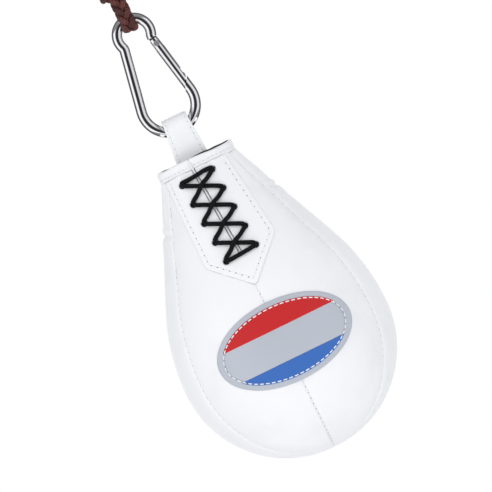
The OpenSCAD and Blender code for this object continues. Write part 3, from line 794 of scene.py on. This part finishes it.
def field_loop(low, high):
    """The part of the inner oval between two heights."""
    a, b = BADGE_A - BADGE_BORDER, BADGE_B - BADGE_BORDER
    v0, v1 = (low - BADGE_C[1]) / b, (high - BADGE_C[1]) / b
    t0, t1 = math.asin(max(-1, v0)), math.asin(min(1, v1))
    t = np.linspace(t0, t1, 60)
    side = np.stack([BADGE_C[0] + a * np.cos(t), BADGE_C[1] + b * np.sin(t)], -1)
    other = side[::-1] * [-1, 1] + [2 * BADGE_C[0], 0]
    loop = np.vstack([side, other])
    keep = np.linalg.norm(loop - np.roll(loop, 1, 0), axis=1) > 1e-4
    return loop[keep]


BAND_TOP, BAND_LOW = BADGE_C[1] + 9.9, BADGE_C[1] - 13.1
panel("badge_red_field", [field_loop(BAND_TOP, BADGE_C[1] + BADGE_B)], FIELD_LOW,
      FIELD_HIGH, 2.2, red, "badge_top_field", edge=0.35, ring=1.4)
panel("badge_blue_field", [field_loop(BADGE_C[1] - BADGE_B, BAND_LOW)], FIELD_LOW,
      FIELD_HIGH, 2.2, blue, "badge_bottom_field", edge=0.35, ring=1.4)

# ---------- stitching
# one stitch: places along it, height and width there, as shares
STITCH_AT = np.array([-.5, -.42, -.2, 0, .2, .42, .5])
STITCH_LIFT = np.array([-.9, .2, .8, 1, .8, .2, -.9])
STITCH_WIDE = np.array([.5, .85, 1, 1, 1, .85, .5])
NEEDLE = np.linspace(0, 2 * math.pi, 9)[:-1]


def stitch_line(path, outward, pitch, size, wide, high):
    """Thread stitches along a path on a surface, and grey discs of painted shade for the needle
    holes between them.
    """
    far = lengths(path)
    count = max(1, int(far[-1] / pitch))
    pitch = far[-1] / count
    threads, hole_shades = [], []

    def at(d):
        return np.array([np.interp(d, far, path[:, k]) for k in range(3)])

    def out_at(d):
        return unit(np.array([np.interp(d, far, outward[:, k]) for k in range(3)]))

    for i in range(count):
        mid = (i + 0.5) * pitch
        line = np.array([at(x) + out_at(x) * h for x, h in
                         zip(mid + size * STITCH_AT, high * STITCH_LIFT)])
        w = wide / 2 * STITCH_WIDE
        threads.append(tube(line, w, w * 0.75, out_at(mid), sides=6))
        # a flat grey disc lies on the surface at each needle hole: painted shade for the hole
        c, n = at(i * pitch), out_at(i * pitch)
        t = unit(at(i * pitch + 0.3) - at(i * pitch - 0.3) + 1e-9)
        b = np.cross(n, t)
        hole_shade_disc = c + n * 0.04 + 0.5 * wide * (
            1.7 * np.cos(NEEDLE)[:, None] * t + 1.15 * np.sin(NEEDLE)[:, None] * b)
        hole_shades.append((hole_shade_disc, [tuple(range(8))], np.zeros((8, 2))))
    return threads, hole_shades


def skin_normal(point):
    """Outward direction of the plain bag at a point."""
    r = math.hypot(point[0], point[1])
    _, _, nr, nz = profile(arc_at(point[2]))
    return np.array([nr * point[0] / max(r, 1e-6), nr * point[1] / max(r, 1e-6), nz])


def sewn(name, rows, pitch, size, wide, high):
    """White stitches along rows of (path, outward), with grey discs of painted shade for their
    needle holes.
    """
    threads, hole_shades = [], []
    for path, outward in rows:
        a, b = stitch_line(path, outward, pitch, size, wide, high)
        threads += a
        hole_shades += b
    sizes = [sum(len(x[1]) for x in threads), sum(len(x[1]) for x in hole_shades)]
    points, faces, uv = joined(threads + hole_shades)
    make(name, points, faces, [thread, pinhole], "bag",
         picks=np.repeat([0, 1], sizes), uv=uv)


def front_row(flat, off):
    """A row of stitches through points seen from the front."""
    flat = np.asarray(flat, float)
    far = lengths(flat)
    d = np.linspace(0, far[-1], max(8, int(far[-1] / 1.5)))
    x, z = (np.interp(d, far, flat[:, k]) for k in (0, 1))
    path = from_front(x, z, np.full(len(x), off))
    return path, np.array([skin_normal(p) for p in path])


def inset(line, gap):
    """An open line of points moved sideways, to its left, by gap."""
    line = [np.array(p, float) for p in line]
    ways = [unit(b - a) for a, b in zip(line, line[1:])]
    sides = [np.array((-w[1], w[0])) for w in ways]
    out = [line[0] + gap * sides[0]]
    for i in range(1, len(line) - 1):
        mid = unit(sides[i - 1] + sides[i])
        out.append(line[i] + gap / float(mid @ sides[i]) * mid)
    return out + [line[-1] + gap * sides[-1]]


TOP = LAY + FACING_T - STITCH_DIP + 0.02
facing_rows = [
    front_row(inset([(FACING_LEFT, COLLAR_Z - 2), (FACING_LEFT, FACING_LEFT_Z),
                     (FACING_TIP, FACING_TIP_Z), (FACING_RIGHT, FACING_RIGHT_Z),
                     (20.9, COLLAR_Z - 2)], STITCH_IN), TOP),
    front_row([(-2.2, MOUTH_Z - 74.6), (1.6, MOUTH_Z - 75.4), (6, MOUTH_Z - 74.2)],
              LAY + FACING_T + 0.05)]
sewn("facing_stitches", facing_rows, STITCH_PITCH, 3.3, 0.8, 0.24)
badge_ring = ellipse(BADGE_BORDER + 1.0, 200)
badge_ring = np.vstack([badge_ring, badge_ring[:1]])
sewn("badge_stitches", [front_row(badge_ring, LAY + 1.22)], 4.1, 2.9, 0.85, 0.28)

SEAM_START, SEAM_STEP = 14, 1.5
seams = []
for k in range(6):
    turn = k * GORE_TURN
    stop = arc_at(SLIT_FOOT[1] - 25) if k == 0 else S_TOP - 3
    s = np.arange(SEAM_START, float(stop), SEAM_STEP)
    if k == 0:
        # nothing shows of the front seam under the badge
        z = profile(s)[1]
        parts = [s[z < BADGE_C[1] - BADGE_B - 1], s[z > BADGE_C[1] + BADGE_B + 1]]
    else:
        parts = [s]
    for part in parts:
        if len(part) > 4:
            path = on_skin(np.full(len(part), turn), part, 0.12, dip=True)
            seams.append((path, np.array([skin_normal(p) for p in path])))
sewn("gore_seam_stitches", seams, STITCH_PITCH, 3.1, 0.62, 0.2)

# ---------- collar
SHADE_GAP_TURN = 0.62      # azimuth of the middle of the stretch where the binding sags and its inside, painted near-black as shade, shows


def collar():
    """Binding folded over the gores' top edge, open at the slit."""
    mid_z = (MOUTH_Z + COLLAR_Z) / 2
    up = (mid_z - SLIT_FOOT[1]) / math.cos(SLIT_LEAN)
    edge = [math.asin((slit_point(side * 0.4, up)[0]) / COLLAR_OUT) for side in (1, -1)]
    turn = np.linspace(edge[0], 2 * math.pi + edge[1], 181)
    outer, inner = COLLAR_OUT, COLLAR_IN
    # the section runs up the outside, over the top and down the inside
    section = [(outer - 0.5, 0.0), (outer - 0.1, 0.25), (outer + 0.1, 1.6), (outer - .28, 2.5),
               (outer + 0.12, 3.6), (outer + 0.1, 6.3), (outer - 0.25, 7.3), (outer - 1.2, 7.85),
               (outer - 2.1, 7.95), (inner + 1.0, 7.8), (inner + 0.2, 7.2), (inner, 6.2),
               (inner, 0.3), (inner + 0.9, 0.0), (inner + 1.1, 4.0), (outer - 1.4, 4.0)]
    points = []
    for t in turn:
        wave = 0.28 * math.sin(5 * t + 0.4) + 0.18 * math.sin(11 * t + 1.3)
        sag = 0.25 * math.sin(3 * t + 1.0) + 0.16 * math.sin(8 * t)
        # to the right of the slit the binding's outer top sags below its inside, which is
        # painted near-black as the shade of the gap in the mouth
        dip = 1.25 * math.exp(-((t - SHADE_GAP_TURN) / SHADE_GAP_TURN) ** 4)
        for k, (r, h) in enumerate(section):
            rr = r + wave * (0.3 + 0.7 * h / 8)
            z = COLLAR_Z + h + (sag - dip * (-0.1 if 9 <= k <= 10 else 1)) * max(
                0.0, h - 4) / 4
            points.append((rr * math.sin(t), -rr * math.cos(t), z))
    n = len(section)
    faces = grid_faces(len(turn), n, wrap=True)
    # the binding's inside takes the near-black painted shade of the gap in the mouth; the two
    # end caps take the raw edge
    picks = [0 if (i % n) < 8 else 1 for i in range(len(faces))]
    faces += [tuple(range(n - 1, -1, -1)), tuple((len(turn) - 1) * n + k for k in range(n))]
    picks += [2, 2]
    make("collar_binding_sewn", points, faces, [leather, painted_mouth_shade, raw_edge], "bag",
         ("collar_binding",), picks=picks)
    row = turn[2:-2]
    path = np.stack([(outer + 0.02) * np.sin(row), -(outer + 0.02) * np.cos(row),
                     np.full_like(row, COLLAR_Z + 2.5)], -1)
    outward = np.stack([np.sin(row), -np.cos(row), 0 * row], -1)
    sewn("collar_stitches", [(path, outward)], 3.6, 2.6, 0.42, 0.1)


collar()


# ---------- strap
STRAP_T = 3.4
FOLD_R = 9.0
BACK_SPLAY, FRONT_SPLAY = math.radians(18), math.radians(5)
MOUTH_BELOW = -20.7                     # the mouth, from the wire's lowest point
STRAP_HALF, STRAP_WIDENS = 9.2, 2.35    # half width at the fold, and how much it grows
FRONT_DEPTH, REAR_DEPTH = -9.4, -3.8    # of the strap's ends below the skin
STITCH_ACROSS = 0.78                    # share of the half width


def strap():
    """The strap folded over the hook's bow, both ends sewn inside the bag."""
    def leg(splay, z):
        return (FOLD_R - z * math.sin(splay)) / math.cos(splay)

    bend = MOUTH_BELOW - 7.9
    end = MOUTH_BELOW - 14
    low = MOUTH_Z - 27

    def wall(z, off):
        r, _, nr, _ = profile(arc_at(z))
        return float(r + off * nr)

    front = [(-wall(low, FRONT_DEPTH), low - WIRE_LOW_Z),
             (-wall(MOUTH_Z - 20, FRONT_DEPTH), end - 6),
             (-wall(MOUTH_Z - 14, FRONT_DEPTH), end), (-leg(FRONT_SPLAY, bend), bend)]
    front += [(-leg(FRONT_SPLAY, z), z) for z in (-21, -14, -7)]
    arc = [(-FOLD_R * math.cos(a), FOLD_R * math.sin(a)) for a in
           np.linspace(FRONT_SPLAY, math.pi - BACK_SPLAY, 15)]
    rear = [(leg(BACK_SPLAY, z), z) for z in (-7, -14, -21)]
    rear += [(leg(BACK_SPLAY, bend), bend), (wall(MOUTH_Z - 14, REAR_DEPTH), end),
             (wall(MOUTH_Z - 20, REAR_DEPTH), end - 6),
             (wall(low, REAR_DEPTH), low - WIRE_LOW_Z)]
    line = smooth_path([(0, y, z + WIRE_LOW_Z) for y, z in front + arc + rear], 1.1)
    z = line[:, 2]
    t = np.clip((WIRE_LOW_Z + 6 - z) / (WIRE_LOW_Z + 6 - MOUTH_Z), 0, 1)
    wide = STRAP_HALF + STRAP_WIDENS * t
    line[:, 0] = -0.5 - 0.5 * t     # it hangs a little to the left
    along = tangents(line)
    up = unit(np.cross(np.array([1.0, 0, 0]), along))
    # shares of the half width and half thickness; the two layers show at the edges
    section = [(-1, -.30), (-.985, -.80), (-.93, -1), (-.78, -.84), (-.74, -1), (-.4, -1.02),
               (0, -1.03), (.4, -1.02), (.74, -1), (.78, -.84), (.93, -1), (.985, -.80),
               (1, -.30), (.97, 0), (1, .30), (.985, .80), (.93, 1), (.78, .84), (.74, 1),
               (.4, 1.02), (0, 1.03), (-.4, 1.02), (-.74, 1), (-.78, .84), (-.93, 1),
               (-.985, .80), (-1, .30), (-.97, 0)]
    curl = np.clip((MOUTH_Z - 6 - z) / 12, 0, 1)
    radius = np.abs(line[:, 1])
    points = []
    for p, u, w, c, r in zip(line, up, wide, curl, radius):
        for a, b in section:
            x = a * w
            sink = c * (r - math.sqrt(max(r * r - x * x, 0))) * (-1 if p[1] > 0 else 1)
            wave = 0.12 * math.sin(p[2] * 0.5 + a)
            points.append((p[0] + x, p[1] + u[1] * b * STRAP_T / 2 + sink,
                           p[2] + u[2] * (b * STRAP_T / 2 + wave)))
    n = len(section)
    faces = grid_faces(len(line), n, wrap=True)
    faces += [tuple(range(n - 1, -1, -1)), tuple((len(line) - 1) * n + k for k in range(n))]
    make("hanging_strap_sewn", points, faces, [smooth_leather], "bag",
         ("hanging_strap",))
    rows = []
    show = z > MOUTH_Z - 4
    for side in (-1, 1):
        for face in (-1, 1):
            x = side * STITCH_ACROSS * wide[show]
            path = line[show] + np.stack([x, 0 * x, 0 * x], -1)
            path = path + up[show] * face * STRAP_T / 2 * 0.88
            rows.append((path, up[show] * face))
    sewn("strap_stitches", rows, 4.4, 3.1, 0.55, 0.14)


strap()

# ---------- lace
LACE_LOW = LAY + FACING_T + 1.35
LACE_HIGH = LACE_LOW + 2.9
LACE_BEHIND = -SKIN_T - LAY - LACE_BORE_D / 2
PAIR = LACE_BORE_D / 2 + 0.1    # the two runs in a hole stand this far from its middle
LACE_FOOT_D = 2.6               # where the lace narrows into a hole


def lace_route():
    """(x, z, offset, width) along the whole lace, hole by hole."""
    out = []

    def add(u, up, off, d):
        x, z = slit_point(u, up)
        out.append((x, z, off, d))

    def front(a, b, high):
        for s, off in ((.0, LACE_LOW - 0.5), (.08, LACE_LOW), (.27, LACE_LOW + 0.2),
                       (.5, high), (.73, LACE_LOW + 0.2), (.92, LACE_LOW),
                       (1, LACE_LOW - 0.5)):
            add(LACE_REACH * (2 * s - 1), a + (b - a) * s, off,
                LACE_D if 0 < s < 1 else LACE_FOOT_D)

    def through(side, up, inwards):
        offs = (LAY + FACING_T - 0.2, LACE_BEHIND)
        for off in offs if inwards else offs[::-1]:
            add(side * LACE_REACH, up, off, LACE_BORE_D)

    def run(a, b, high, behind):
        through(-1, a, False)
        front(a, b, high)
        through(1, b, True)
        if behind is not None:
            add(0, behind[0], LACE_BEHIND - behind[1], LACE_BORE_D)

    rows = LACE_ROWS
    deep = LACE_BORE_D + 0.3
    run(rows[0] + PAIR, rows[0] + PAIR, LACE_LOW, (rows[0], 0))
    for i in range(4):
        run(rows[i] - PAIR, rows[i + 1] + PAIR, LACE_LOW, (rows[i + 1], 0))
    run(rows[4] - PAIR, rows[4] - PAIR, LACE_LOW, (rows[4], deep))
    for i in range(4, 0, -1):
        run(rows[i] + PAIR, rows[i - 1] - PAIR, LACE_HIGH,
            (rows[i - 1], deep) if i > 1 else None)
    add(LACE_REACH - 5, rows[0] - PAIR - 2, LACE_BEHIND - 0.2, LACE_BORE_D)
    return out


route = np.array(lace_route())
route = smooth_path(route, 0.9)
path = from_front(route[:, 0], route[:, 1], route[:, 2])
outward = np.array([skin_normal(p) for p in path])
points, faces, uv = tube(path, route[:, 3] / 2, route[:, 3] / 2 * 0.82, outward, sides=12,
                         power=2.3)
make("lace_cord", points, faces, [lace_cloth], "bag", ("lace",), uv=uv)

# ---------- stage and light
FLOOR_HALF, FLOOR_Z = 1.0, -1.3     # in metres, as are the lamps' places
FLOOR_LIFT = 0.31                   # what the lit floor lacks to white
# soft boxes at both sides, above and below, with a dark gap between them for the steel:
# name, place, size, brightness
LAMPS = (("box_left", (-2.1, -1.5, -0.2), (2.1, 3.2), 0.92),
         ("box_right", (2.1, -1.5, -0.2), (2.1, 3.2), 0.66),
         ("box_top", (0.0, -1.6, 1.7), (1.5, 1.2), 0.48),
         ("box_low", (0.0, -1.9, -1.1), (2.6, 0.7), 0.8),
         ("rim_left", (-2.0, 1.3, 0.1), (1.3, 2.4), 0.35),
         ("rim_right", (2.0, 1.3, 0.1), (1.3, 2.4), 0.35))
LAMP_AIM = (0, 0, -0.25)
SOFT_COLOR, SOFT_STRENGTH = (0.96, 0.975, 1, 1), 0.775
# what reflections show, from the front to the back: dark, lit sides, dark, then the white
GLEAM_FRONT, GLEAM_BACK = (0.02, 0.02, 0.023, 1), (1, 1, 1, 1)
GLEAM = ((0.02, 0.05), (0.07, 0.22), (0.4, 0.34), (0.52, 0.24), (0.62, 0.07), (0.9, 0.12),
         (0.94, 1.0))


def floor_cloth():
    """White where the camera or a reflection looks, with room left for a shadow."""
    cloth = surface("pale_floor", (0.96, 0.96, 0.96), 0.9)
    tree = cloth.node_tree
    rays = node(tree, "ShaderNodeLightPath").outputs
    seen = maths(tree, "MAXIMUM", rays["Is Camera Ray"], rays["Is Glossy Ray"])
    seen = maths(tree, "MAXIMUM", seen, rays["Is Transmission Ray"])
    shader = tree.nodes["Principled BSDF"]
    shader.inputs["Emission Color"].default_value = (1, 1, 1, 1)
    tree.links.new(maths(tree, "MULTIPLY", seen, FLOOR_LIFT),
                   shader.inputs["Emission Strength"])
    return cloth


def floor():
    mesh = bpy.data.meshes.new("floor")
    half, level = FLOOR_HALF, FLOOR_Z
    mesh.from_pydata([(-half, -half, level), (half, -half, level), (half, half, level),
                      (-half, half, level)], [], [(0, 1, 2, 3)])
    mesh.materials.append(floor_cloth())
    thing = bpy.data.objects.new("floor", mesh)
    bpy.context.scene.collection.objects.link(thing)


floor()


def lamp(name, place, size, glow):
    """A plain area light of an even brightness, glow, that faces the part."""
    data = bpy.data.lights.new(name, "AREA")
    data.shape = "RECTANGLE"
    data.size, data.size_y = size
    data.energy = glow * math.pi * size[0] * size[1]
    thing = bpy.data.objects.new(name, data)
    thing.location = place
    way = Vector(LAMP_AIM) - thing.location
    thing.rotation_euler = way.to_track_quat("-Z", "Y").to_euler()
    thing.visible_camera = False
    thing.visible_glossy = not name.startswith("rim")
    bpy.context.scene.collection.objects.link(thing)


for name, place, size, glow in LAMPS:
    lamp(name, Vector(place), size, glow)


def backdrop():
    """White where the camera looks, softer as a light. Reflections show the white straight
    behind the part and a dim studio in front of it and beside it."""
    world = bpy.context.scene.world or bpy.data.worlds.new("world")
    bpy.context.scene.world = world
    world.use_nodes = True
    tree = world.node_tree
    tree.nodes.clear()
    link = tree.links.new
    out = tree.nodes.new("ShaderNodeOutputWorld")
    rays = tree.nodes.new("ShaderNodeLightPath").outputs
    shown = node(tree, "ShaderNodeBackground", Color=(1, 1, 1, 1), Strength=1.0)
    soft = node(tree, "ShaderNodeBackground", Color=SOFT_COLOR, Strength=SOFT_STRENGTH)
    gleam = node(tree, "ShaderNodeBackground", Strength=1.0)
    place = node(tree, "ShaderNodeTexCoord")
    split = node(tree, "ShaderNodeSeparateXYZ")
    ramp = node(tree, "ShaderNodeValToRGB")
    stops = ramp.color_ramp.elements
    stops[0].position, stops[0].color = 0.0, GLEAM_FRONT
    stops[1].position, stops[1].color = 1.0, GLEAM_BACK
    for at, grey in GLEAM:
        stop = stops.new(at)
        stop.color = (grey, grey, 1.05 * grey, 1)
    link(place.outputs["Generated"], split.inputs[0])
    link(maths(tree, "MULTIPLY_ADD", split.outputs["Y"], 0.5, 0.5), ramp.inputs["Fac"])
    link(ramp.outputs["Color"], gleam.inputs["Color"])
    first = tree.nodes.new("ShaderNodeMixShader")
    second = tree.nodes.new("ShaderNodeMixShader")
    link(rays["Is Glossy Ray"], first.inputs[0])
    link(soft.outputs[0], first.inputs[1])
    link(gleam.outputs[0], first.inputs[2])
    link(maths(tree, "MAXIMUM", rays["Is Camera Ray"], rays["Is Transmission Ray"]),
         second.inputs[0])
    link(first.outputs[0], second.inputs[1])
    link(shown.outputs[0], second.inputs[2])
    link(second.outputs[0], out.inputs["Surface"])


backdrop()
bpy.context.scene.view_settings.view_transform = "Standard"
